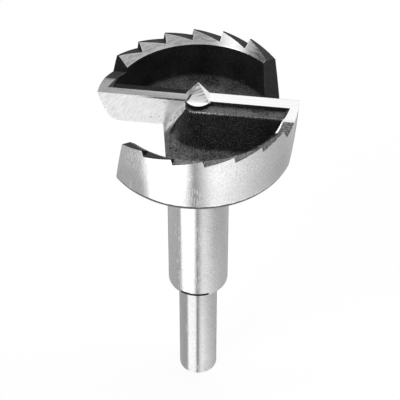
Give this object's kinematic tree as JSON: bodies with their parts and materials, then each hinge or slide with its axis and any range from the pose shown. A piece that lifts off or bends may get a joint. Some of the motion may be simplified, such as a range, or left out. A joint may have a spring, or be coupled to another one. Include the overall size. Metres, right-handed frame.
{
  "type": "forstner bit",
  "caption": "Sawtooth forstner bit with a plain round shank, a thick neck and a toothed cup head with two cutting lips, open chip throats and a short centre point.",
  "frame": {"origin": "centre of the flat end of the shank", "axes": "+Z along the bit, the way it drills; +X along one cutting lip"},
  "size_m": [0.0478, 0.048, 0.101],
  "materials": {
    "steel": "turned and ground bright, with a dark heat-treatment scale left in the pockets"
  },
  "bodies": {
    "root": {"bit": "steel"}
  },
  "joints": []
}
